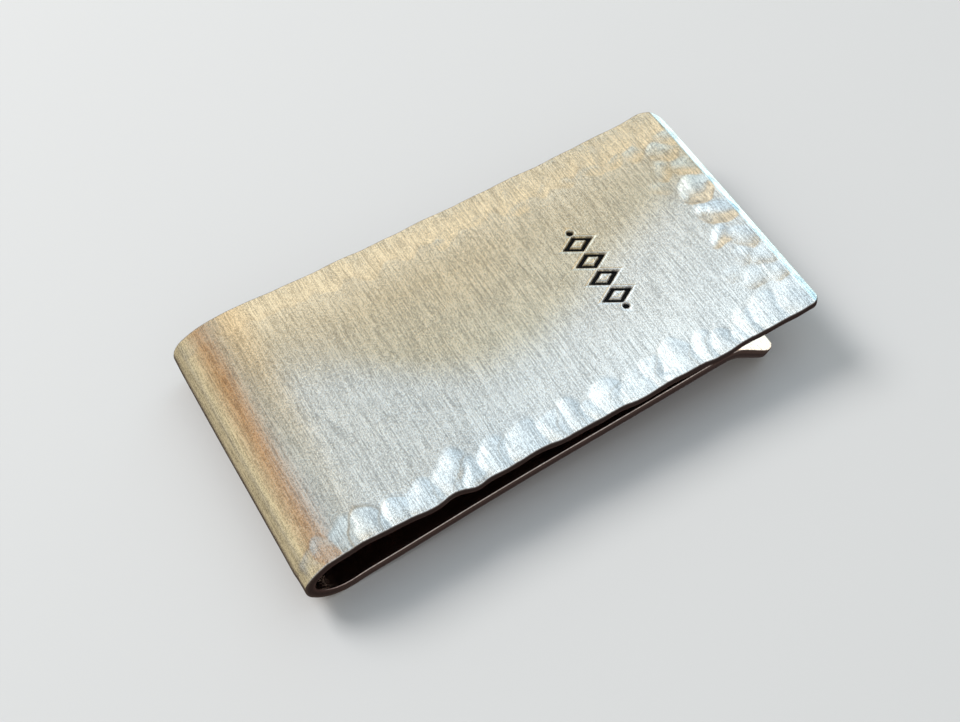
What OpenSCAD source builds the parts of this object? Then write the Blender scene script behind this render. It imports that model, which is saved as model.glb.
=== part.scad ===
// Folded spring money clip.
// One strip of sterling sheet: a long face plate, a round fold and a spring leg
// that rises back to the plate, pinches it at a crest and flares down into a lip.
// The strip is followed along its middle surface in the XZ plane, starting at the
// flat of the face plate, and every zone is that path swept across the width.

/* [Strip] */
// Width of the face plate and of the fold
clip_w = 25.4; // [20:0.1:32]
// Thickness of the sheet
sheet_t = 1.0; // [0.8:0.05:1.2]
// How far each long edge of the leg stands inside the plate's edge
leg_inset = 0.15; // [0.05:0.05:1]

/* [Face plate] */
// Length of the level middle of the plate
flat_len = 19; // [16:0.5:30]
// Length of the part that rises gently towards the open end
tip_len = 12; // [8:0.5:16]
// Radius of that rise
tip_rise_r = 130; // [100:5:400]
// Length of the part that rises gently towards the fold
back_len = 11.86; // [8:0.02:14]
// Radius of that rise
back_rise_r = 200; // [150:5:400]
// Radius of the left corner at the open end
plate_corner_l = 1.9; // [0.5:0.1:4]
// Radius of the right corner at the open end
plate_corner_r = 0.9; // [0.5:0.1:4]
// Bevel at the open end, measured along the plate
bevel_run = 0.8; // [0.3:0.05:1.2]
// Bevel at the open end, measured down from the face
bevel_drop = 0.45; // [0.2:0.05:0.6]

/* [Fold] */
// Radius of the shoulder where the plate turns into the fold
shoulder_r = 7.9; // [6:0.1:10]
// Angle that the shoulder turns through
shoulder_deg = 32.5; // [28:0.5:36]
// Radius of the nose of the fold
nose_r = 1.8; // [1.6:0.05:2.2]
// Angle that the nose turns through
nose_deg = 94; // [88:1:98]
// Radius of the belly, which the clip rests on
belly_r = 3.7; // [3.4:0.05:4.4]

/* [Spring leg] */
// Slope of the leg where it leaves the fold
leg_deg = 7.4; // [6.6:0.1:7.6]
// Slope that the leg has lost where it reaches the crest
leg_bow_deg = 2.6; // [2.4:0.1:3]
// Length of the leg from the fold to the crest
leg_len = 35.0; // [34:0.1:35.4]
// Radius of the crest that pinches the notes
crest_r = 2.5; // [2:0.1:4]
// Slope of the lip below the level of the plate
lip_deg = 40; // [32:1:46]
// Length of the lip
lip_len = 5.4; // [4.5:0.1:6.4]
// Thickness of the lip at its tip
lip_t = 0.8; // [0.6:0.05:1]
// Radius of the lip's two corners
lip_corner_r = 2.7; // [0.5:0.1:4]

/* [Punched row] */
// Number of lozenges in the row
lozenge_n = 4; // [1:1:6]
// Distance between two lozenges
lozenge_pitch = 2.1; // [1.8:0.1:3]
// Length of a lozenge along the plate
lozenge_len = 3.1; // [2:0.1:4]
// Width of a lozenge across the plate
lozenge_wid = 1.9; // [1.4:0.1:2.4]
// Width of the punched line
line_w = 0.42; // [0.3:0.02:0.5]
// Depth of the punched line
line_depth = 0.3; // [0.1:0.05:0.5]
// Centre of the row, measured from the open end
row_back = 14.0; // [12.5:0.1:16]

/* [Hidden] */

// saw-thin slit between two zones that turn against each other
slit = 0.02;
leg_w = clip_w - 2 * leg_inset;

// ---- the path --------------------------------------------------------------
// A pose is [x, z, heading]. A segment is [radius, turn] for an arc, where a
// positive turn goes towards the inside of the fold, or [length, 0] for a line.
function step(p, s) =
    s[1] == 0
    ? [p[0] + s[0] * cos(p[2]), p[1] + s[0] * sin(p[2]), p[2]]
    : let (q = sign(s[1]), cx = p[0] - q * s[0] * sin(p[2]), cz = p[1] + q * s[0] * cos(p[2]), h = p[2] + s[1])
      [cx + q * s[0] * sin(h), cz - q * s[0] * cos(h), h];
function centre(p, s) = [p[0] - sign(s[1]) * s[0] * sin(p[2]), p[1] + sign(s[1]) * s[0] * cos(p[2])];
function pose_at(start, segs, i) = i == 0 ? start : step(pose_at(start, segs, i - 1), segs[i - 1]);
// a point beside the path, d to the left of its heading
function beside(p, d) = [p[0] - d * sin(p[2]), p[1] + d * cos(p[2])];

flat_x1 = 13;
flat_x0 = flat_x1 - flat_len;

// towards the open end
tip_start = [flat_x1, -sheet_t / 2, 0];
tip_segs = [[tip_rise_r, asin(tip_len / tip_rise_r)]];
tip_end = pose_at(tip_start, tip_segs, 1);

// towards the fold and round it
back_deg = asin(back_len / back_rise_r);
run_start = [flat_x0, -sheet_t / 2, 180];
belly_deg = 180 + leg_deg + back_deg - shoulder_deg - nose_deg;
leg_bow_r = leg_len / leg_bow_deg * 180 / PI;
run_segs = [
    [back_rise_r, -back_deg],                 // 0 plate, rising to the fold
    [shoulder_r, shoulder_deg],               // 1 fold
    [nose_r, nose_deg],                       // 2 fold
    [belly_r, belly_deg],                     // 3 fold
    [leg_bow_r, -leg_bow_deg / 2],            // 4 leg, rear half
    [leg_bow_r, -leg_bow_deg / 2],            // 5 leg, front half
    [crest_r, -(leg_deg - leg_bow_deg + lip_deg)] // 6 crest
];
function run_pose(i) = pose_at(run_start, run_segs, i);

// ---- how it stands ---------------------------------------------------------
// It rests on the belly of the fold and on the lower corner of the lip's tip.
belly_c = centre(run_pose(3), run_segs[3]);
belly_out = belly_r + sheet_t / 2;
lip_foot = beside(step(run_pose(7), [lip_len, 0]), -(lip_t - sheet_t / 2));
lean = atan2(lip_foot[1] - belly_c[1], lip_foot[0] - belly_c[0])
     + asin(belly_out / norm(lip_foot - belly_c));
function leaned(q) = [q[0] * cos(lean) + q[1] * sin(lean), -q[0] * sin(lean) + q[1] * cos(lean)];
nose_c = centre(run_pose(2), run_segs[2]);
x_lo = leaned(nose_c)[0] - nose_r - sheet_t / 2;
x_hi = leaned(beside(tip_end, -sheet_t / 2))[0];
z_lo = leaned(belly_c)[1] - belly_out;

module stand() translate([-(x_lo + x_hi) / 2, 0, -z_lo]) rotate([0, lean, 0]) children();

// ---- building blocks -------------------------------------------------------
// One segment of the strip seen from the side. a and b trim its two ends.
module seg2d(p, s, a = 0, b = 0) {
    if (s[1] == 0)
        translate([p[0], p[1]]) rotate(p[2]) translate([a, -sheet_t / 2]) square([s[0] - a - b, sheet_t]);
    else {
        q = sign(s[1]);
        c = centre(p, s);
        h0 = p[2] - q * 90 + q * a / s[0] * 180 / PI;
        h1 = p[2] - q * 90 + s[1] - q * b / s[0] * 180 / PI;
        far = (s[0] + sheet_t) / cos((h1 - h0) / 4) * 1.2;
        n = s[0] > 100 ? 1440 : s[0] > 5 ? 240 : 120;
        translate(c) intersection() {
            difference() {
                circle(r = s[0] + sheet_t / 2, $fn = n);
                circle(r = s[0] - sheet_t / 2, $fn = n);
            }
            polygon([[0, 0], far * [cos(h0), sin(h0)],
                     far * [cos((h0 + h1) / 2), sin((h0 + h1) / 2)],
                     far * [cos(h1), sin(h1)]]);
        }
    }
}

// A side view swept across the width w
module across(w) rotate([90, 0, 0]) linear_extrude(height = w, center = true) children();

// Outline seen square to a plate that ends at x = 0 with two round corners,
// of radius l on the +Y side and r on the -Y side
module rounded_end(len, w, l, r) {
    for (q = [[1, l], [-1, r]]) mirror([0, q[0] < 0 ? 1 : 0]) {
        translate([-len, -0.01]) square([len - q[1], w / 2 + 0.01]);
        translate([-q[1] - 0.01, -0.01]) square([q[1] + 0.01, w / 2 - q[1] + 0.01]);
        translate([-q[1], w / 2 - q[1]]) circle(r = q[1], $fn = 96);
    }
}

// One punched lozenge, drawn as a line, points along X
module lozenge() {
    a = lozenge_len / 2;
    b = lozenge_wid / 2;
    k = line_w * norm([a, b]) / (a * b) ;
    difference() {
        polygon([[-a, 0], [0, -b], [a, 0], [0, b]]);
        polygon([for (q = [[-a, 0], [0, -b], [a, 0], [0, b]]) q * (1 - k)]);
    }
}

// ---- the zones -------------------------------------------------------------
// Face plate: level in the middle, rising a little towards both ends
module front_plate() {
    color("silver") stand() difference() {
        intersection() {
            across(clip_w) {
                translate([flat_x0, -sheet_t]) square([flat_len, sheet_t]);
                seg2d(tip_start, tip_segs[0]);
                seg2d(run_start, run_segs[0]);
            }
            translate([tip_end[0] + sheet_t * 0.02, 0, -3])
                linear_extrude(height = 6) rounded_end(60, clip_w, plate_corner_l, plate_corner_r);
        }
        // filed bevel along the open end
        translate([tip_end[0], 0, tip_end[1]]) rotate([0, -tip_end[2], 0])
            across(clip_w + 2) translate([0, sheet_t / 2])
                polygon([[-bevel_run, 0], [1, -bevel_drop * (bevel_run + 1) / bevel_run], [1, 1], [-bevel_run, 1]]);
        // punched row of lozenges across the plate, with a dot at each end
        translate([tip_end[0] - row_back, 0, -line_depth]) linear_extrude(height = 2) {
            for (i = [0 : lozenge_n - 1])
                translate([0, (i - (lozenge_n - 1) / 2) * lozenge_pitch]) lozenge();
            for (s = [-1, 1])
                translate([0, s * (lozenge_n / 2 * lozenge_pitch + 0.3)]) circle(r = 0.32, $fn = 32);
        }
    }
}

// Fold: shoulder, nose and belly
module fold_bend() {
    color("burlywood") stand() across(clip_w) {
        seg2d(run_pose(1), run_segs[1], a = slit);
        seg2d(run_pose(2), run_segs[2]);
        seg2d(run_pose(3), run_segs[3], b = slit);
    }
}

// Spring leg, rear half
module leg_rear() {
    color("lightgray") stand() across(leg_w) seg2d(run_pose(4), run_segs[4]);
}

// Spring leg, front half
module leg_front() {
    color("gainsboro") stand() across(leg_w) seg2d(run_pose(5), run_segs[5]);
}

// Crest that holds the notes against the plate
module pinch_crest() {
    color("mistyrose") stand() across(leg_w) seg2d(run_pose(6), run_segs[6]);
}

// Lip that lets the notes slide in, thinned towards its tip
module flared_lip() {
    p = run_pose(7);
    color("white") stand() translate([p[0], 0, p[1]]) rotate([0, -p[2], 0]) intersection() {
        across(leg_w) difference() {
            polygon([[0, -sheet_t / 2], [lip_len, sheet_t / 2 - lip_t], [lip_len, sheet_t / 2], [0, sheet_t / 2]]);
            // filed bevel along the tip
            translate([lip_len, sheet_t / 2]) polygon([[-0.6, 0], [0.6, -0.7], [0.6, 0.5], [-0.6, 0.5]]);
        }
        translate([lip_len, 0, -2]) linear_extrude(height = 4) rounded_end(lip_len + 2, leg_w, lip_corner_r, lip_corner_r);
    }
}

front_plate();
fold_bend();
leg_rear();
leg_front();
pinch_crest();
flared_lip();
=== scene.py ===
import math

import bpy
import numpy as np
from mathutils import Matrix, Vector


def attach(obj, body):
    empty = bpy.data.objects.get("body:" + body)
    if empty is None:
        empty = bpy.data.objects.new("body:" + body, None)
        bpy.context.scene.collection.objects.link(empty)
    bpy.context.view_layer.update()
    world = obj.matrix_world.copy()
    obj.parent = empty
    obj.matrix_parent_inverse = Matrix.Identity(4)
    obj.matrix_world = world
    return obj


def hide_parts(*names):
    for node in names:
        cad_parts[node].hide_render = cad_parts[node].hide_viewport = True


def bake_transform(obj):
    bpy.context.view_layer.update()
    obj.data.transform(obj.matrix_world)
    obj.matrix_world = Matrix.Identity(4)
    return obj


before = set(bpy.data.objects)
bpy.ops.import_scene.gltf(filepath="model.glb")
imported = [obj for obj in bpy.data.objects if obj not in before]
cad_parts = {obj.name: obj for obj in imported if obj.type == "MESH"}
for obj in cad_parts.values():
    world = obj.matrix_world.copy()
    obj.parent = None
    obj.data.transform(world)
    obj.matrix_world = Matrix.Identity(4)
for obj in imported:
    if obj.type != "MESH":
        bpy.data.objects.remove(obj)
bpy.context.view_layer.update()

# ---------------------------------------------------------------------------
# The strip's middle surface, in millimetres, with the numbers of part.scad.
# s runs from the open end of the face plate, back to the fold, round it, and
# out along the spring leg to the tip of the lip.
# ---------------------------------------------------------------------------
T = 1.0                      # sheet thickness
HW = 12.7                    # half width of the plate and fold
HW_LEG = 12.55               # half width of the leg
CORNER_FAR, CORNER_NEAR = 1.9, 0.9      # the two corners at the open end
LIP_R = 2.7
LIP_T = 0.8                  # lip thickness at its tip
BEVEL_RUN, BEVEL_DROP = 0.66, 0.42
LIP_BEVEL_RUN, LIP_BEVEL_DROP = 0.6, 0.35

deg = math.radians
tip_turn = math.asin(12.0 / 130.0)
back_turn = math.asin(11.86 / 200.0)
belly_turn = math.pi + deg(7.4) + back_turn - deg(32.5) - deg(94.0)
bow_r = 35.0 / deg(2.6)

# (radius, turn) for an arc, (length, 0) for a line; a positive turn is to the inside of the fold
SEGS = [
    (130.0, -tip_turn),
    (19.0, 0.0),
    (200.0, -back_turn),
    (7.9, deg(32.5)),
    (1.8, deg(94.0)),
    (3.7, belly_turn),
    (bow_r, -deg(1.3)),
    (bow_r, -deg(1.3)),
    (2.5, -deg(44.8)),
    (5.4, 0.0),
]


def seg_len(sg):
    return sg[0] if sg[1] == 0 else sg[0] * abs(sg[1])


def seg_step(p, sg, ds):
    x, z, h = p
    if sg[1] == 0:
        return x + ds * np.cos(h), z + ds * np.sin(h), h + 0 * ds
    q = math.copysign(1.0, sg[1])
    cx, cz = x - q * sg[0] * math.sin(h), z + q * sg[0] * math.cos(h)
    h2 = h + q * ds / sg[0]
    return cx + q * sg[0] * np.sin(h2), cz - q * sg[0] * np.cos(h2), h2


STARTS = [(13.0 + 12.0, -T / 2 + 130.0 * (1 - math.cos(tip_turn)), math.pi + tip_turn)]
BREAKS = [0.0]
for sg in SEGS:
    n = seg_step(STARTS[-1], sg, seg_len(sg))
    STARTS.append((float(n[0]), float(n[1]), float(n[2])))
    BREAKS.append(BREAKS[-1] + seg_len(sg))
LENGTH = BREAKS[-1]
S_PLATE_END = BREAKS[3]      # plate meets fold
S_NOSE = (BREAKS[4] + BREAKS[5]) / 2
S_LEG = BREAKS[6]            # fold meets leg
S_CREST = BREAKS[8]
S_LIP = BREAKS[9]


def path(s):
    """Middle surface x, z and heading at s (array)."""
    s = np.atleast_1d(np.asarray(s, float))
    x, z, h = np.zeros_like(s), np.zeros_like(s), np.zeros_like(s)
    for i, sg in enumerate(SEGS):
        m = (s >= BREAKS[i] - 1e-9) if i == 0 else (s > BREAKS[i])
        if i < len(SEGS) - 1:
            m &= s <= BREAKS[i + 1]
        if m.any():
            x[m], z[m], h[m] = seg_step(STARTS[i], sg, s[m] - BREAKS[i])
    return x, z, h


# how it stands: on the belly and on the lower corner of the lip's tip
def centre(i):
    p, sg = STARTS[i], SEGS[i]
    q = math.copysign(1.0, sg[1])
    return np.array([p[0] - q * sg[0] * math.sin(p[2]), p[1] + q * sg[0] * math.cos(p[2])])


belly_c, belly_out = centre(5), 3.7 + T / 2
e = STARTS[-1]
foot = np.array([e[0], e[1]]) - (LIP_T - T / 2) * np.array([-math.sin(e[2]), math.cos(e[2])])
gap = foot - belly_c
LEAN = math.atan2(gap[1], gap[0]) + math.asin(belly_out / math.hypot(*gap))
CL, SL = math.cos(LEAN), math.sin(LEAN)


def leaned(x, z):
    return x * CL + z * SL, -x * SL + z * CL


nose_c = centre(4)
X_LO = leaned(*nose_c)[0] - 1.8 - T / 2
tp = STARTS[0]
X_HI = leaned(tp[0] + T / 2 * math.sin(tp[2]), tp[1] - T / 2 * math.cos(tp[2]))[0]
Z_LO = leaned(*belly_c)[1] - belly_out


def to_row(x, z):
    """Strip frame to row frame, still in millimetres."""
    a, b = leaned(x, z)
    return a - (X_LO + X_HI) / 2, b - Z_LO


# ---------------------------------------------------------------------------
# Hammer work: a height map over the developed outer face. xd is the distance
# along the face, xd = 25 at the open end and falling towards the fold.
# ---------------------------------------------------------------------------
GRID = 0.04
XD0, XD1, YD0, YD1 = -30.0, 25.4, -13.2, 13.2
gx = np.arange(XD0, XD1 + 1e-9, GRID)
gy = np.arange(YD0, YD1 + 1e-9, GRID)
HM = np.zeros((len(gx), len(gy)))
MARK_EDGE_SHADE = np.zeros_like(HM)                               # painted shade along the rim of each mark, for the colour


def bowl(cx, cy, ax, ay, d, turn=0.0, tilt=(0.0, 0.0)):
    """One hammer mark: an elliptical paraboloid dish that only ever cuts down."""
    r = 1.15 * max(ax, ay)
    i0, i1 = np.searchsorted(gx, [cx - r, cx + r])
    j0, j1 = np.searchsorted(gy, [cy - r, cy + r])
    X, Y = np.meshgrid(gx[i0:i1] - cx, gy[j0:j1] - cy, indexing="ij")
    c, s = math.cos(turn), math.sin(turn)
    A, B = X + cx, Y + cy                              # the hammer's face and the hand are never quite even
    X = X + 0.22 * np.sin(1.5 * B + 1.1 * np.sin(1.3 * A)) + 0.03 * np.sin(4.3 * B + 2.0 * A)
    Y = Y + 0.24 * np.sin(1.9 * A + 0.9 * np.sin(1.1 * B) + 0.5) + 0.04 * np.sin(4.3 * A - 1.7 * B)
    u, v = (X * c + Y * s) / ax, (-X * s + Y * c) / ay
    h = -d * (1 - u * u - v * v) + tilt[0] * X + tilt[1] * Y
    h = np.where(u * u + v * v < 1.32, h, 0)
    old = HM[i0:i1, j0:j1]
    won = np.minimum(h, 0) <= old + 1e-9
    rho = np.sqrt(u * u + v * v)
    # painted shade line at the mark's rim, heavier on one side of the mark, where its shade falls
    side = 0.55 + 0.45 * np.cos(np.arctan2(Y, X) - 1.1 - 2.0 * math.sin(cx * 3.7 + cy))
    line = np.exp(-((rho - 0.985) * min(ax, ay) / 0.085) ** 2) * side * min(1.0, d / 0.16)
    area = MARK_EDGE_SHADE[i0:i1, j0:j1]
    area[:] = np.where(won & (rho < 0.96), 0.0, area)
    area[:] = np.where(won | (h < 0.01), np.maximum(area, line), area)
    HM[i0:i1, j0:j1] = np.minimum(old, np.minimum(h, 0))


# near long edge: first and last xd of each mark, how far in it reaches, depth, turn
NEAR = [
    (-27.6, -25.2, -11.3, 0.10, 0.0), (-25.4, -23.2, -11.0, 0.14, 0.1), (-23.4, -21.4, -10.7, 0.24, -0.1),
    (-21.5, -19.8, -10.2, 0.22, 0.1), (-19.9, -18.0, -9.95, 0.19, -0.1), (-18.0, -15.6, -9.6, 0.24, 0.12),
    (-15.7, -13.2, -10.4, 0.25, -0.1), (-13.6, -10.7, -10.2, 0.27, 0.15), (-10.7, -8.5, -8.5, 0.27, -0.25),
    (-9.2, -6.9, -11.0, 0.33, 0.2), (-8.5, -6.9, -10.1, 0.24, 0.0), (-6.9, -4.6, -9.7, 0.30, -0.15),
    (-4.3, -1.3, -9.4, 0.28, 0.1), (-1.2, 1.1, -9.6, 0.29, -0.1), (0.9, 2.8, -9.5, 0.24, 0.2),
    (2.7, 4.2, -10.3, 0.22, 0.0), (3.6, 6.2, -9.6, 0.27, -0.2), (5.8, 9.0, -10.2, 0.29, 0.15),
    (8.6, 10.2, -9.4, 0.24, -0.1), (9.7, 12.5, -11.1, 0.33, 0.1), (10.5, 13.6, -9.1, 0.24, 0.2),
    (13.2, 15.0, -9.9, 0.25, -0.15), (15.0, 17.1, -10.2, 0.26, 0.1), (16.9, 18.0, -10.6, 0.22, 0.0),
    (17.7, 19.4, -9.7, 0.24, -0.2), (19.3, 22.0, -9.1, 0.25, 0.15), (21.8, 24.4, -9.3, 0.25, -0.1),
]
for x0, x1, yt, d, turn in NEAR:
    half = (x1 - x0) / 2
    yc = -12.45
    bowl((x0 + x1) / 2, yc, half * 1.55, (yt - yc) * 1.02, d * 0.72, turn)

# far long edge: shallower, rounder marks
FAR = [
    (-27.0, 11.3, 1.5, 0.08), (-24.8, 11.0, 1.5, 0.12), (-22.5, 10.9, 1.4, 0.13), (-20.3, 10.6, 1.4, 0.12),
    (-18.2, 10.3, 1.4, 0.10), (-16.0, 10.5, 1.5, 0.09), (-13.8, 10.2, 1.5, 0.08), (-11.5, 10.4, 1.5, 0.08),
    (-9.4, 10.0, 1.4, 0.09), (-7.4, 10.2, 1.3, 0.09), (-5.4, 9.4, 1.3, 0.13), (-3.7, 10.1, 1.3, 0.11),
    (-1.9, 9.6, 1.3, 0.12), (0.2, 10.0, 1.3, 0.10), (1.9, 9.2, 1.3, 0.13), (3.7, 9.8, 1.2, 0.11),
    (5.6, 9.9, 1.4, 0.10), (7.5, 9.4, 1.3, 0.12), (9.2, 9.0, 1.2, 0.13), (11.0, 9.7, 1.3, 0.12),
    (12.8, 9.1, 1.4, 0.14), (14.8, 9.9, 1.3, 0.12), (16.4, 9.2, 1.2, 0.13), (18.2, 8.7, 1.3, 0.14),
    (20.0, 9.3, 1.3, 0.13), (21.7, 8.8, 1.3, 0.13), (23.6, 9.2, 1.3, 0.13),
]
for i, (cx, yb, half, d) in enumerate(FAR):
    yc = 12.5
    bowl(cx, yc, half * 1.45, yc - yb, d * (0.85 if cx > -17 else 0.3), 0.18 * math.sin(i * 2.3))
# a second, lighter pass just inside the far edge
for i, (cx, cy, r, d) in enumerate([
    (1.4, 9.9, 1.0, 0.035), (8.8, 9.3, 1.1, 0.04), (11.6, 10.4, 1.2, 0.045), (13.6, 10.1, 1.1, 0.045),
    (16.6, 9.7, 1.1, 0.04), (18.5, 9.3, 1.2, 0.05), (20.7, 9.2, 1.1, 0.045), (-5.5, 10.3, 1.0, 0.03),
    (-2.2, 10.7, 1.0, 0.03), (5.2, 10.6, 1.1, 0.03),
]):
    bowl(cx, cy, r, r * 0.9, d, i * 0.7)

# open end: a row of rounder bowls
for cx, cy, ax, ay, d, turn in [
    (22.75, 2.5, 1.75, 1.55, 0.200, 0.3), (22.95, -0.5, 1.65, 1.45, 0.205, -0.2), (21.75, -2.9, 1.15, 1.05, 0.110, 0.4),
    (23.4, -3.9, 1.25, 1.4, 0.080, 0.0), (22.3, -5.7, 1.15, 1.1, 0.045, 0.5), (23.6, -6.5, 1.15, 1.2, 0.065, 0.0),
    (21.7, -8.0, 1.15, 1.2, 0.045, 0.3), (23.5, -8.3, 1.2, 1.1, 0.060, 0.0), (22.6, 7.6, 1.35, 1.25, 0.070, 0.2),
    (21.9, 5.9, 1.25, 1.0, 0.050, 0.6), (23.5, 5.2, 1.2, 1.2, 0.075, 0.0), (23.9, 9.0, 1.1, 1.3, 0.07, 0.0),
    (20.4, 4.4, 0.9, 0.8, 0.018, 0.0), (20.2, -6.6, 0.9, 0.9, 0.015, 0.0),
]:
    bowl(cx, cy, ax, ay, d * 0.80, turn)


def smooth(a, sigma):
    """Separable Gaussian blur of the height map, sigma in millimetres."""
    n = max(1, int(3 * sigma / GRID))
    k = np.exp(-0.5 * (np.arange(-n, n + 1) * GRID / sigma) ** 2)
    k /= k.sum()
    for ax in (0, 1):
        p = np.concatenate([np.repeat(np.take(a, [0], ax), n, ax), a, np.repeat(np.take(a, [-1], ax), n, ax)], ax)
        a = np.apply_along_axis(lambda r: np.convolve(r, k, "valid"), ax, p)
    return a


HM = smooth(HM, 0.07)
# the slow waves of hand-worked sheet
GX, GY = np.meshgrid(gx, gy, indexing="ij")
HM += 0.006 * np.sin(GX / 1.9 + 0.6 * np.sin(GY / 3.1) + 0.4) * np.sin(GY / 2.3 + 1.1)
HM += 0.010 * np.sin(GX / 4.3 + 1.7) * np.cos(GY / 3.9 - 0.6) - 0.012 * (GY / 12.7) ** 2
# the sheet rolls a little beside the fold, where it was bent
HM += 0.075 * np.sin(np.pi * (GY - 1.0) / 14.0) * np.interp(GX, [-26, -20, -12, -4], [0, 1, 1, 0])


def sample(m, xd, y):
    u = np.clip((xd - XD0) / GRID, 0, len(gx) - 1.001)
    v = np.clip((y - YD0) / GRID, 0, len(gy) - 1.001)
    i, j = u.astype(int), v.astype(int)
    a, b = u - i, v - j
    return m[i, j] * (1 - a) * (1 - b) + m[i + 1, j] * a * (1 - b) + m[i, j + 1] * (1 - a) * b + m[i + 1, j + 1] * a * b


def ramp(x, a, b):
    t = np.clip((x - a) / (b - a), 0, 1)
    return t * t * (3 - 2 * t)


# ---------------------------------------------------------------------------
# The punched row: four lozenges and two dots, as a depth from 0 to 1
# ---------------------------------------------------------------------------
def punched(xd, y):
    a, b, w, wall = 1.55, 0.95, 0.42, 0.11
    k = a * b / math.hypot(a, b)
    out = np.full(np.shape(xd), -9.0)
    for cy in (-3.15, -1.05, 1.05, 3.15):
        dd = (1 - (np.abs(xd - 11.0) / a + np.abs(y - cy) / b)) * k
        out = np.maximum(out, np.minimum(dd, w - dd))
    for cy in (-4.5, 4.5):
        out = np.maximum(out, 0.32 - np.hypot(xd - 11.0, y - cy))
    lip = np.exp(-((out + 0.09) / 0.06) ** 2) * 0.022   # metal pushed up beside the punch
    return ramp(out, -0.01, wall), lip


# ---------------------------------------------------------------------------
# Sampling of the strip
# ---------------------------------------------------------------------------
def spaced(a, b, d):
    n = max(1, int(round((b - a) / d)))
    return [a + (b - a) * i / n for i in range(n)]


rows = [0.0, 0.008, 0.024, 0.048, 0.08]
rows += spaced(0.12, 1.44, 0.06) + spaced(1.44, 12.2, 0.098) + spaced(12.2, 15.8, 0.055) + spaced(15.8, 17.0, 0.1)
i_mid = len(rows)
rows += spaced(17.0, 39.0, 0.118)
i_shoulder = len(rows)
rows += spaced(39.0, BREAKS[3], 0.11) + spaced(BREAKS[3], BREAKS[4], 0.1) + spaced(BREAKS[4], S_NOSE, 0.085)
i_nose = len(rows)
rows += spaced(S_NOSE, BREAKS[5], 0.085) + spaced(BREAKS[5], BREAKS[6], 0.1) + spaced(BREAKS[6], 59.5, 0.14)
i_leg = len(rows)
rows += spaced(59.5, 86.5, 0.34)
i_lip = len(rows)
rows += spaced(86.5, BREAKS[8], 0.2) + spaced(BREAKS[8], BREAKS[9], 0.09) + spaced(BREAKS[9], LENGTH - 1.9, 0.16)
rows += spaced(LENGTH - 1.9, LENGTH - 0.12, 0.07)
rows += [LENGTH - 0.12, LENGTH - 0.08, LENGTH - 0.048, LENGTH - 0.024, LENGTH - 0.008, LENGTH]
S = np.array(rows)

N_ROUND, N_FINE, N_SIDE, N_MID = 6, 44, 16, 180
phi = np.linspace(0, math.pi / 2, N_ROUND)
Y_MID, Y_FINE = 4.95, 8.3
x_mid, z_mid, h_mid = path(S)
XD = 25.0 - S


def half_width(s, side):
    """The plan outline: width, corners, and the waviness left by the hammer."""
    hw = HW + (HW_LEG - HW) * ramp(s, S_LEG - 3.2, S_LEG + 1.5)
    xd = 25.0 - s
    nose = np.exp(-((s - S_NOSE) / 2.2) ** 2)
    on_plate = 1 - ramp(s, S_PLATE_END + 1.0, S_NOSE)
    if side < 0:
        w = (0.05 * np.sin(xd / 1.1 + 0.3) + 0.035 * np.sin(xd / 0.62 + 1.9) - 0.06
             + 0.16 * np.exp(-((xd + 8.0) / 0.8) ** 2) - 0.17 * np.exp(-((xd + 9.9) / 0.9) ** 2)
             - 0.10 * np.exp(-((xd + 3.0) / 2.2) ** 2) + 0.06 * np.exp(-((xd - 6.6) / 0.9) ** 2)
             - 0.07 * np.exp(-((xd - 10.8) / 1.0) ** 2) + 0.05 * np.exp(-((xd - 14.4) / 0.8) ** 2))
    else:
        w = 0.035 * np.sin(xd / 1.3 + 1.0) + 0.025 * np.sin(xd / 0.7) - 0.03
    hw = hw + w * on_plate * ramp(s, 0.6, 2.6) + 0.07 * nose
    leg = ramp(s, S_LEG, S_LEG + 6) * (1 - ramp(s, S_CREST - 4, S_CREST))
    hw = hw + leg * 0.03 * np.sin(s / 4.1 + (0.5 if side < 0 else 2.0))
    return hw


def corner_cut(s, r0, r1):
    """How far the outline has come in at the two rounded ends."""
    a = np.clip(r0 - s, 0, r0)
    b = np.clip(r1 - (LENGTH - s), 0, r1)
    return (r0 - np.sqrt(np.maximum(r0 * r0 - a * a, 0))) + (r1 - np.sqrt(np.maximum(r1 * r1 - b * b, 0)))


def rim_loss(s, dy, re, far_side):
    """How far the face drops at its rounded rim. dy is the distance in from the straight side line."""
    loss = np.zeros(np.broadcast(s, dy).shape)
    corner = np.where(far_side, CORNER_FAR, CORNER_NEAR)
    for dist, r, ree in ((s, corner, 0.085), (LENGTH - s, np.full(np.shape(corner), LIP_R), 0.085)):
        near = dist < r
        incorner = near & (dy < r)
        q = np.where(incorner, np.hypot(np.minimum(dist, r) - r, np.minimum(dy, r) - r), 0)
        d_side = np.where(incorner, r - q, dy)
        turn = np.where(incorner, np.arctan2(r - np.minimum(dy, r), np.maximum(r - dist, 1e-9)) / (math.pi / 2), 1.0)
        both = np.where(near & ~incorner, dist, d_side)
        rr = np.where(near & ~incorner, ree, ree + (re - ree) * turn)
        d = np.clip(both, 0, rr)
        val = rr - np.sqrt(np.maximum(rr * rr - (rr - d) ** 2, 0))
        sel = near
        loss = np.where(sel, val, loss)
    far = (s >= corner) & (LENGTH - s >= LIP_R)
    d = np.clip(dy, 0, re)
    return np.where(far, re - np.sqrt(np.maximum(re * re - (re - d) ** 2, 0)), loss)


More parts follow.
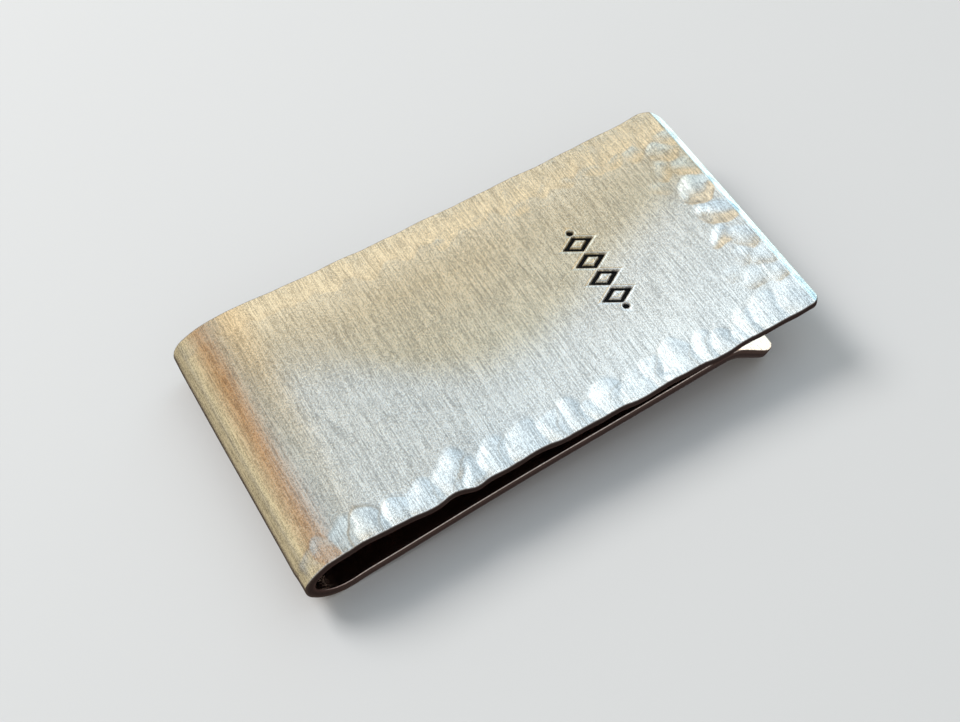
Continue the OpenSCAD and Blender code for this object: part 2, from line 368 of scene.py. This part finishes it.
def columns(s, re, side_n, full):
    """y of every column of one face, from the near rim to the far rim, for each row."""
    hn, hf = half_width(s, -1), half_width(s, 1)
    cut_n, cut_f = corner_cut(s, CORNER_NEAR, LIP_R), corner_cut(s, CORNER_FAR, LIP_R)
    hn, hf = hn - cut_n, hf - cut_f
    out = []
    for p in phi:
        out.append(-(hn - re * (1 - math.cos(p))))
    if full:
        a = -(hn - re)
        for j in range(1, N_FINE + 1):
            out.append(a + (-Y_FINE - a) * j / N_FINE)
        for j in range(1, N_SIDE + 1):
            out.append(np.full_like(s, -Y_FINE + (Y_FINE - Y_MID) * j / N_SIDE))
        for j in range(1, N_MID):
            out.append(np.full_like(s, -Y_MID + 2 * Y_MID * j / N_MID))
        for j in range(N_SIDE, 0, -1):
            out.append(np.full_like(s, Y_FINE - (Y_FINE - Y_MID) * j / N_SIDE))
        b = hf - re
        for j in range(N_FINE, 0, -1):
            out.append(b + (Y_FINE - b) * j / N_FINE)
    else:
        a, b = -(hn - re), hf - re
        for j in range(1, side_n):
            out.append(a + (b - a) * j / side_n)
    for p in phi[::-1]:
        out.append(hf - re * (1 - math.cos(p)))
    return np.stack(out, 1), hn + cut_n, hf + cut_f


RE_OUT = 0.09 + 0.03 * ramp(S, S_LEG - 2, S_LEG)
RE_IN = 0.09 + 0 * S


def soft_min(a, b, k):
    return -k * np.logaddexp(-a / k, -b / k)


# outer face: the top of the plate, round the fold, and the underside of the leg
Yo, hn_o, hf_o = columns(S, RE_OUT, 0, True)
Sg = np.repeat(S[:, None], Yo.shape[1], 1)
dy_o = np.where(Yo < 0, hn_o[:, None] + Yo, hf_o[:, None] - Yo)
hammer = sample(HM, 25.0 - Sg, Yo) * (1 - ramp(Sg, S_NOSE - 0.5, S_LEG - 1.0))
cut_deep, burr = punched(25.0 - Sg, Yo)
off_o = np.full_like(Sg, T / 2) + hammer
bevel = soft_min(np.full_like(Sg, 0.0), (Sg / BEVEL_RUN - 1) * BEVEL_DROP, 0.02)
on_tip = Sg < 3.0
off_o = off_o + np.where(on_tip, bevel + 0.02 * np.exp(-Sg * 20), 0)
off_o = off_o - 0.3 * cut_deep + burr
taper = np.clip((Sg - S_LIP) / (LENGTH - S_LIP), 0, 1)
off_o = off_o - (T - LIP_T) * taper
off_o = off_o - rim_loss(Sg, dy_o, np.repeat(RE_OUT[:, None], Yo.shape[1], 1), Yo > 0)

# inner face: under the plate, inside the fold, and the top of the leg and lip
N_IN = 64
Yi, hn_i, hf_i = columns(S, RE_IN, N_IN, False)
Si = np.repeat(S[:, None], Yi.shape[1], 1)
dy_i = np.where(Yi < 0, hn_i[:, None] + Yi, hf_i[:, None] - Yi)
off_i = np.full_like(Si, -T / 2)
eb = LENGTH - Si
lip_bevel = soft_min(np.full_like(Si, 0.0), (eb / LIP_BEVEL_RUN - 1) * LIP_BEVEL_DROP, 0.012)
off_i = off_i - np.where(eb < 2.5, lip_bevel, 0)
off_i = off_i + rim_loss(Si, dy_i, np.repeat(RE_IN[:, None], Yi.shape[1], 1), Yi > 0)
off_i = off_i + 0.008 * np.sin(Si / 3.3 + 0.7) * np.sin(Yi / 3.7 + 0.3)

# one ring per row: outer face near to far, far rim, inner face far to near, near rim
n_rim = 3


def rim(Ya, Oa, Yb, Ob):
    ys, os_ = [], []
    for k in range(1, n_rim + 1):
        t = k / (n_rim + 1)
        ys.append(Ya * (1 - t) + Yb * t)
        os_.append(Oa * (1 - t) + Ob * t)
    return np.stack(ys, 1), np.stack(os_, 1)


far_y, far_o = rim(Yo[:, -1], off_o[:, -1], Yi[:, -1], off_i[:, -1])
near_y, near_o = rim(Yi[:, 0], off_i[:, 0], Yo[:, 0], off_o[:, 0])
RY = np.concatenate([Yo, far_y, Yi[:, ::-1], near_y], 1)
RO = np.concatenate([off_o, far_o, off_i[:, ::-1], near_o], 1)
NR, M = RY.shape
px = x_mid[:, None] + RO * np.sin(h_mid)[:, None]
pz = z_mid[:, None] - RO * np.cos(h_mid)[:, None]
rx, rz = to_row(px, pz)
CO = np.stack([rx, RY, rz], -1) * 0.001               # metres, row frame
kind = np.zeros(M)                                    # 1 on the outer face, 0 inside, for the material
kind[: Yo.shape[1]] = 1.0
ni0 = Yo.shape[1] + n_rim
kind[Yo.shape[1]: ni0] = np.linspace(1, 0, n_rim + 2)[1:-1]
kind[ni0 + Yi.shape[1]:] = np.linspace(0, 1, n_rim + 2)[1:-1]

# vertex normals of the whole strip, so that no seam between pieces shows
fn_idx = np.arange(M)
nxt = (fn_idx + 1) % M
v00, v10 = CO[:-1], CO[1:]
v01, v11 = CO[:-1][:, nxt], CO[1:][:, nxt]
FN = np.cross(v11 - v00, v01 - v10)                   # twice the area of each quad
mid_pt = CO[NR // 3].mean(0)
VN = np.zeros_like(CO)
VN[:-1] += FN
VN[1:] += FN
VN[:-1][:, nxt] += FN
VN[1:][:, nxt] += FN
test = VN[i_mid + 20, Yo.shape[1] // 2]
flip = test[2] < 0
if flip:
    VN = -VN
VN /= np.maximum(np.linalg.norm(VN, axis=-1, keepdims=True), 1e-30)


# ---------------------------------------------------------------------------
# Large-scale colour of the silver, as a colour per vertex: a warm tint with painted reflections, painted shade and
# painted highlights in it
# ---------------------------------------------------------------------------
def mix3(a, b, t):
    return a * (1 - t[..., None]) + b * t[..., None]


# the silver's own colour, then the colours of the painted reflections
COOL = np.array([0.93, 0.92, 0.90])
REFLECTED_TAN = np.array([0.84, 0.765, 0.62])
REFLECTED_CREAM = np.array([0.96, 0.915, 0.81])
REFLECTED_COPPER = np.array([0.93, 0.78, 0.58])
REFLECTED_PALE = np.array([0.94, 0.885, 0.755])
# reddish brown painted shade for the inside of the strip
SHADED_INSIDE = np.array([0.68, 0.52, 0.46])


def colour_with_painted_light(s, y, k):
    xd = 25.0 - s
    base = np.broadcast_to(COOL, s.shape + (3,)).copy()
    # champagne patch in the middle of the plate: a painted reflection of the room's warm light over a warm tint, its
    # near boundary rising towards the open end
    edge = np.interp(xd, [-18, -12, -6, -2, 3, 8, 12, 16, 21, 25], [4.5, 2.6, -1.6, -3.4, -3.5, -1.8, 0.2, 1.8, 3.2, 3.6])
    t = ramp(y, edge - 2.6, edge + 2.4) * (1 - 0.15 * ramp(xd, 17, 24)) * (1 - 0.35 * ramp(-xd, 7, 15) * (1 - ramp(y, 5, 10)))
    base = mix3(base, REFLECTED_TAN, t)
    # cream band towards the far edge: a painted reflection as well
    t = ramp(y, 6.0, 10.5)
    base = mix3(base, REFLECTED_CREAM, t * 0.85)
    # copper band on the shoulder, pale gold on the nose: painted reflections of the warm side of the room
    t = ramp(s, S_PLATE_END - 2.2, S_PLATE_END + 0.6) * (1 - ramp(s, BREAKS[4] - 1.4, BREAKS[4] + 0.2)) * (0.35 + 0.65 * ramp(y, -9, 4))
    base = mix3(base, REFLECTED_COPPER, t * 0.8)
    t = ramp(s, BREAKS[4] - 1.4, BREAKS[4] + 0.3)
    base = mix3(base, REFLECTED_PALE, t)
    t = ramp(s, S_LEG - 2.0, S_LEG + 2.0)
    base = mix3(base, COOL * 0.97, t)
    inside = 1 - k
    # painted shade: inside the fold and under the plate the colour is darker, for the shade in the gap; the lip and
    # crest get none
    dark = inside * (1 - ramp(s, S_CREST - 7, S_CREST))
    base = mix3(base, SHADED_INSIDE, dark)
    return base


KK = np.broadcast_to(kind, RY.shape)
TONE = colour_with_painted_light(np.repeat(S[:, None], M, 1), RY, KK)
# brown painted shade along the rims of the hammer marks, stronger towards the fold
EDGE_SHADE_BROWN = np.array([0.50, 0.38, 0.26])
mark_edge_shading = np.zeros(RY.shape)
mark_edge_shading[:, : Yo.shape[1]] = sample(MARK_EDGE_SHADE, 25.0 - Sg, Yo) * (1 - ramp(Sg, S_NOSE - 0.5, S_LEG - 1.0)) * ramp(Sg, 0.7, 1.2)
TONE = mix3(TONE, EDGE_SHADE_BROWN, np.clip(mark_edge_shading, 0, 1) * (0.34 + 0.56 * ramp(25.0 - np.repeat(S[:, None], M, 1), -12, -16.5)))
# the edge faces: painted shade along the plate and fold, a lighter painted shade and a pink-white painted highlight
# along the leg
edge_shade_w = np.clip(4 * kind * (1 - kind), 0, 1)[None, :] * np.ones((NR, 1))
EDGE_FACE_SHADE, LEG_EDGE_HIGHLIGHT = np.array([0.36, 0.305, 0.28]), np.array([0.96, 0.82, 0.74])
on_leg = ramp(np.repeat(S[:, None], M, 1), S_LEG - 2.5, S_LEG + 2.5)
TONE = mix3(TONE, EDGE_FACE_SHADE, edge_shade_w * (1 - on_leg) * 0.9)
TONE = mix3(TONE, EDGE_FACE_SHADE * 1.4, edge_shade_w * on_leg * 0.9)
TONE = mix3(TONE, LEG_EDGE_HIGHLIGHT, on_leg * (np.abs(KK - 0.2) < 0.1))
# the pink-white painted highlight also on the leg's rounded inner corners
inner_rim = np.zeros(M)
for c0 in (ni0, ni0 + Yi.shape[1] - N_ROUND):
    inner_rim[c0: c0 + N_ROUND] = 1.0
TONE = mix3(TONE, LEG_EDGE_HIGHLIGHT, on_leg * inner_rim[None, :])
# the filed bevels at both ends get a blue-grey painted reflection of the sky
BEVEL_SKY_REFLECTION = np.array([0.64, 0.79, 0.86])
bevel_reflection = (1 - ramp(np.repeat(S[:, None], M, 1), 0.56, 0.74)) * (KK > 0.9)
TONE = mix3(TONE, BEVEL_SKY_REFLECTION, bevel_reflection * 0.9)
TONE = mix3(TONE, BEVEL_SKY_REFLECTION, ramp(np.repeat(S[:, None], M, 1), LENGTH - 0.62, LENGTH - 0.50) * (KK < 0.1) * 0.9)
MARK = np.zeros(RY.shape)
MARK[:, : Yo.shape[1]] = cut_deep
STRIP = np.stack([np.repeat(S[:, None], M, 1), RY, KK * 3.0], -1)   # millimetres along, across, and which face


# ---------------------------------------------------------------------------
# Brushed sterling silver
# ---------------------------------------------------------------------------
def silver():
    m = bpy.data.materials.new("sterling_silver_hammered")
    m.use_nodes = True
    nt = m.node_tree
    nt.nodes.clear()
    N, L = nt.nodes.new, nt.links.new

    def math_(op, a, b=None, c=None, clamp=False):
        n = N("ShaderNodeMath")
        n.operation, n.use_clamp = op, clamp
        for i, v in enumerate((a, b, c)):
            if v is None:
                continue
            if isinstance(v, (int, float)):
                n.inputs[i].default_value = v
            else:
                L(v, n.inputs[i])
        return n.outputs[0]

    out = N("ShaderNodeOutputMaterial")
    bsdf = N("ShaderNodeBsdfPrincipled")
    bsdf.inputs["Metallic"].default_value = 1.0
    bsdf.inputs["Anisotropic"].default_value = 0.5
    L(bsdf.outputs[0], out.inputs[0])

    strip = N("ShaderNodeAttribute"); strip.attribute_name = "strip"
    tone = N("ShaderNodeAttribute"); tone.attribute_name = "tone"
    mark = N("ShaderNodeAttribute"); mark.attribute_name = "mark"
    tangent = N("ShaderNodeTangent"); tangent.direction_type = "UV_MAP"; tangent.uv_map = "brush"
    L(tangent.outputs[0], bsdf.inputs["Tangent"])

    def noise(scale, detail, rough, stretch=(1, 1, 1), distort=0.0):
        mp = N("ShaderNodeMapping")
        mp.inputs["Scale"].default_value = stretch
        L(strip.outputs["Vector"], mp.inputs["Vector"])
        n = N("ShaderNodeTexNoise")
        n.inputs["Scale"].default_value = scale
        n.inputs["Detail"].default_value = detail
        n.inputs["Roughness"].default_value = rough
        n.inputs["Distortion"].default_value = distort
        L(mp.outputs[0], n.inputs["Vector"])
        return n.outputs["Fac"]

    # scratches of the brush, which run across the width
    brush = noise(8.5, 3.0, 0.65, (1, 0.05, 1))
    brush_fine = noise(16.0, 2.0, 0.6, (1, 0.10, 1))
    grain = noise(10.5, 3.0, 0.7, (1, 0.72, 1))
    speck = noise(22.0, 2.0, 0.6)
    cloud = noise(0.42, 3.0, 0.5, distort=0.6)

    # colour: the per-vertex colour, with a little of the grain, brush and cloud in it
    shade = math_("ADD", math_("MULTIPLY", math_("SUBTRACT", brush, 0.5), 1.75),
                  math_("MULTIPLY", math_("SUBTRACT", grain, 0.5), 2.3))
    shade = math_("ADD", shade, math_("MULTIPLY", math_("SUBTRACT", speck, 0.5), 1.3))
    shade = math_("ADD", shade, math_("MULTIPLY", math_("SUBTRACT", cloud, 0.5), 0.10))
    # painted glints: sparse bright sparkle over a quieter ground
    shade = math_("MAXIMUM", math_("MULTIPLY", shade, 1.35), math_("MULTIPLY", shade, 0.72))
    shade = math_("MINIMUM", math_("MAXIMUM", math_("ADD", 0.82, shade), 0.46), 1.07)
    mul = N("ShaderNodeVectorMath"); mul.operation = "SCALE"
    L(tone.outputs["Color"], mul.inputs[0]); L(shade, mul.inputs["Scale"])
    # the punched recesses go near black: dark patina in the hollows, with painted shade in the recess
    oxide_and_recess_shade = N("ShaderNodeMix"); oxide_and_recess_shade.data_type = "RGBA"
    oxide_and_recess_shade.inputs["B"].default_value = (0.012, 0.012, 0.013, 1)
    L(mul.outputs[0], oxide_and_recess_shade.inputs["A"])
    deep = math_("MULTIPLY", math_("SUBTRACT", mark.outputs["Fac"], 0.52), 3.2, clamp=True)
    L(deep, oxide_and_recess_shade.inputs["Factor"])
    L(oxide_and_recess_shade.outputs["Result"], bsdf.inputs["Base Color"])

    rough = math_("ADD", 0.19, math_("MULTIPLY", math_("SUBTRACT", grain, 0.5), 0.20))
    rough = math_("ADD", rough, math_("MULTIPLY", math_("SUBTRACT", cloud, 0.5), 0.10))
    rough = math_("ADD", rough, math_("MULTIPLY", deep, 0.25), clamp=True)
    L(rough, bsdf.inputs["Roughness"])

    h = math_("ADD", math_("MULTIPLY", brush, 0.9), math_("MULTIPLY", brush_fine, 0.45))
    h = math_("ADD", h, math_("MULTIPLY", grain, 0.8))
    h = math_("ADD", h, math_("MULTIPLY", speck, 0.25))
    bump = N("ShaderNodeBump")
    bump.inputs["Strength"].default_value = 1.0
    bump.inputs["Distance"].default_value = 0.000011
    L(h, bump.inputs["Height"])
    L(bump.outputs[0], bsdf.inputs["Normal"])
    return m


MAT = silver()


def piece(name, i0, i1, cap0=True, cap1=True):
    """Rows i0 to i1 of the strip as one closed mesh in the row frame."""
    n = i1 - i0 + 1
    co = CO[i0: i1 + 1].reshape(-1, 3)
    r = np.arange(n - 1)[:, None] * M
    c = np.arange(M)[None, :]
    a, b = r + c, r + (c + 1) % M
    q = np.stack([a, b, b + M, a + M], -1).reshape(-1, 4)
    if not flip:
        q = q[:, ::-1]
    verts = [co]
    faces = q.tolist()
    total = len(co)
    vn = [VN[i0: i1 + 1].reshape(-1, 3)]
    tone = [TONE[i0: i1 + 1].reshape(-1, 3)]
    mark = [MARK[i0: i1 + 1].ravel()]
    strip = [STRIP[i0: i1 + 1].reshape(-1, 3)]
    for use, row, sgn in ((cap0, i0, 1), (cap1, i1, -1)):
        if not use:
            continue
        ring = CO[row]
        verts.append(ring)
        d = ring - CO[row + sgn]
        nn = d.mean(0)
        vn.append(np.repeat((nn / np.linalg.norm(nn))[None], M, 0))
        tone.append(TONE[row]); mark.append(MARK[row] * 0); strip.append(STRIP[row])
        loop = list(range(total, total + M))
        # the cap turns the same way as the walls' outside
        p = ring[loop[0] - total], ring[M // 3], ring[2 * M // 3]
        area = np.zeros(3)
        for k in range(M):
            area += np.cross(ring[k], ring[(k + 1) % M])
        if np.dot(area, nn) < 0:
            loop = loop[::-1]
        faces.append(loop)
        total += M
    verts = np.concatenate(verts)
    me = bpy.data.meshes.new(name)
    me.from_pydata(verts.tolist(), [], faces)
    me.validate()
    me.update()
    uv = me.uv_layers.new(name="brush")
    st = np.concatenate(strip)
    li = np.zeros(len(me.loops), np.int32)
    me.loops.foreach_get("vertex_index", li)
    uvs = np.stack([st[li, 0] * 0.01, st[li, 1] * 0.01], 1).astype(np.float32)
    uv.data.foreach_set("uv", uvs.ravel())
    at = me.attributes.new("strip", "FLOAT_VECTOR", "POINT")
    at.data.foreach_set("vector", st.astype(np.float32).ravel())
    at = me.attributes.new("tone", "FLOAT_COLOR", "POINT")
    tc = np.concatenate(tone)
    at.data.foreach_set("color", np.concatenate([tc, np.ones((len(tc), 1))], 1).astype(np.float32).ravel())
    at = me.attributes.new("mark", "FLOAT", "POINT")
    at.data.foreach_set("value", np.concatenate(mark).astype(np.float32))
    me.polygons.foreach_set("use_smooth", np.ones(len(me.polygons), bool))
    me.normals_split_custom_set_from_vertices(np.concatenate(vn).tolist())
    me.materials.append(MAT)
    ob = bpy.data.objects.new(name, me)
    bpy.context.scene.collection.objects.link(ob)
    return ob


LAST = NR - 1
plate_tip = piece("silver_plate_open_end", 0, i_mid)
plate_mid = piece("silver_plate_middle", i_mid, i_shoulder)
shoulder = piece("silver_fold_shoulder", i_shoulder, i_nose)
belly = piece("silver_fold_belly", i_nose, i_leg)
leg = piece("silver_spring_leg", i_leg, i_lip)
lip = piece("silver_crest_and_lip", i_lip, LAST)

hinge_up = to_row(*(lambda p: (p[0] + T / 2 * math.sin(p[2]), p[1] - T / 2 * math.cos(p[2])))(STARTS[3]))
hinge_dn = to_row(*(lambda p: (p[0] + T / 2 * math.sin(p[2]), p[1] - T / 2 * math.cos(p[2])))(STARTS[6]))
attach(plate_tip, "plate")
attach(plate_mid, "plate")
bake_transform(shoulder)
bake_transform(belly)
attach(leg, "leg")
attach(lip, "leg")
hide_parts("front_plate")
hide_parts("front_plate")
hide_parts("fold_bend")
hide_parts("fold_bend")
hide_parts("leg_rear", "leg_front")
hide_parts("pinch_crest", "flared_lip")

# ---------------------------------------------------------------------------
# Floor, light and camera
# ---------------------------------------------------------------------------
me = bpy.data.meshes.new("floor")
fl = 2.2
me.from_pydata([(-fl, -fl, 0), (fl, -fl, 0), (fl, fl, 0), (-fl, fl, 0)], [], [(0, 1, 2, 3)])
floor = bpy.data.objects.new("floor", me)
bpy.context.scene.collection.objects.link(floor)
fm = bpy.data.materials.new("pale_floor")
fm.use_nodes = True
fb = fm.node_tree.nodes["Principled BSDF"]
fb.inputs["Base Color"].default_value = (0.60, 0.60, 0.605, 1)
fb.inputs["Roughness"].default_value = 0.75
me.materials.append(fm)
floor.visible_glossy = False


def area_light(name, at, size, power, color, target=(0, 0, 0.004), size_y=None):
    d = bpy.data.lights.new(name, "AREA")
    d.shape = "RECTANGLE"
    d.size, d.size_y = size, size_y or size
    d.energy, d.color = power, color
    o = bpy.data.objects.new(name, d)
    bpy.context.scene.collection.objects.link(o)
    o.location = at
    v = Vector(target) - Vector(at)
    o.rotation_euler = v.to_track_quat("-Z", "Y").to_euler()
    return o


world = bpy.data.worlds.new("soft_room")
bpy.context.scene.world = world
world.use_nodes = True
wn = world.node_tree
wn.nodes.clear()
wout = wn.nodes.new("ShaderNodeOutputWorld")
bg = wn.nodes.new("ShaderNodeBackground")
bg.inputs["Strength"].default_value = 1.0
wn.links.new(bg.outputs[0], wout.inputs[0])
tc = wn.nodes.new("ShaderNodeTexCoord")


def w_spot(direction, lo, hi):
    """A soft round patch of the room: 0 below cosine lo, 1 above cosine hi."""
    v = Vector(direction).normalized()
    d = wn.nodes.new("ShaderNodeVectorMath"); d.operation = "DOT_PRODUCT"
    d.inputs[1].default_value = v
    wn.links.new(tc.outputs["Generated"], d.inputs[0])
    r = wn.nodes.new("ShaderNodeMapRange"); r.interpolation_type = "SMOOTHSTEP"
    r.inputs["From Min"].default_value, r.inputs["From Max"].default_value = lo, hi
    wn.links.new(d.outputs["Value"], r.inputs["Value"])
    return r.outputs["Result"]


def w_mix(a, fac, color):
    m = wn.nodes.new("ShaderNodeMix"); m.data_type = "RGBA"
    if isinstance(a, tuple):
        m.inputs["A"].default_value = (*a, 1)
    else:
        wn.links.new(a, m.inputs["A"])
    m.inputs["B"].default_value = (*color, 1)
    wn.links.new(fac, m.inputs["Factor"])
    return m.outputs["Result"]


def w_side(direction, lo, hi):
    """A soft straight boundary between two parts of the room."""
    d = wn.nodes.new("ShaderNodeVectorMath"); d.operation = "DOT_PRODUCT"
    d.inputs[1].default_value = direction
    wn.links.new(tc.outputs["Generated"], d.inputs[0])
    r = wn.nodes.new("ShaderNodeMapRange"); r.interpolation_type = "SMOOTHSTEP"
    r.inputs["From Min"].default_value, r.inputs["From Max"].default_value = lo, hi
    wn.links.new(d.outputs["Value"], r.inputs["Value"])
    return r.outputs["Result"]


def w_both(a, b):
    m = wn.nodes.new("ShaderNodeMath"); m.operation = "MULTIPLY"
    wn.links.new(a, m.inputs[0]); wn.links.new(b, m.inputs[1])
    return m.outputs[0]


room = (0.060, 0.045, 0.042)                                                           # under the horizon
room = w_mix(room, w_side((0.0, 0.0, 1.0), -0.30, 0.50), (0.54, 0.55, 0.55))         # the room's own light
room = w_mix(room, w_spot((-0.80, 0.50, -0.33), 0.86, 0.96), (0.52, 0.46, 0.33))       # warm wall low beside the fold
room = w_mix(room, w_spot((0.11, 0.33, 0.93), 0.80, 0.92), (0.70, 0.86, 0.97))        # soft box above
room = w_mix(room, w_spot((0.60, 0.28, 0.75), 0.90, 0.985), (1.45, 1.60, 1.66))       # its brighter end
room = w_mix(room, w_both(w_side((-0.12, 1.0, -0.572), -0.03, 0.03), w_spot((0.22, 0.62, 0.75), 0.88, 0.965)), (0.155, 0.11, 0.042))
room = w_mix(room, w_both(w_side((0.0, 1.0, -0.675), -0.01, 0.045), w_spot((0.18, 0.60, 0.78), 0.92, 0.985)), (1.13, 1.01, 0.77))
room = w_mix(room, w_spot((-0.49, 0.50, 0.71), 0.960, 0.989), (0.56, 0.335, 0.165))    # dark timber
room = w_mix(room, w_spot((-0.76, 0.50, 0.43), 0.950, 0.985), (0.78, 0.70, 0.50))     # lamp on it
room = w_mix(room, w_spot((0.81, 0.50, 0.32), 0.94, 0.98), (0.72, 1.00, 1.14))        # window past the open end
room = w_mix(room, w_spot((0.86, 0.50, -0.06), 0.935, 0.978), (2.05, 2.10, 1.90))     # its sunlit sill
wn.links.new(room, bg.inputs["Color"])

key = area_light("key", (-0.20, 0.36, 0.42), 0.26, 3.0, (1.0, 0.985, 0.965))
key.visible_glossy = False

cam_d = bpy.data.cameras.new("camera")
cam_d.sensor_width = 36.0
cam_d.lens = 57.4
cam = bpy.data.objects.new("camera", cam_d)
bpy.context.scene.collection.objects.link(cam)
back = Vector((-0.232, -0.498, 0.836)).normalized()
right = Vector((0.867, -0.496, -0.054))
right = (right - back * right.dot(back)).normalized()
up = back.cross(right)
cam.matrix_world = Matrix((
    (right.x, up.x, back.x, -0.0320),
    (right.y, up.y, back.y, -0.0655),
    (right.z, up.z, back.z, 0.1110),
    (0, 0, 0, 1),
))
cam_d.clip_start, cam_d.clip_end = 0.005, 20.0
bpy.context.scene.camera = cam
bpy.context.scene.view_settings.view_transform = "Standard"
bpy.context.scene.view_settings.look = "None"
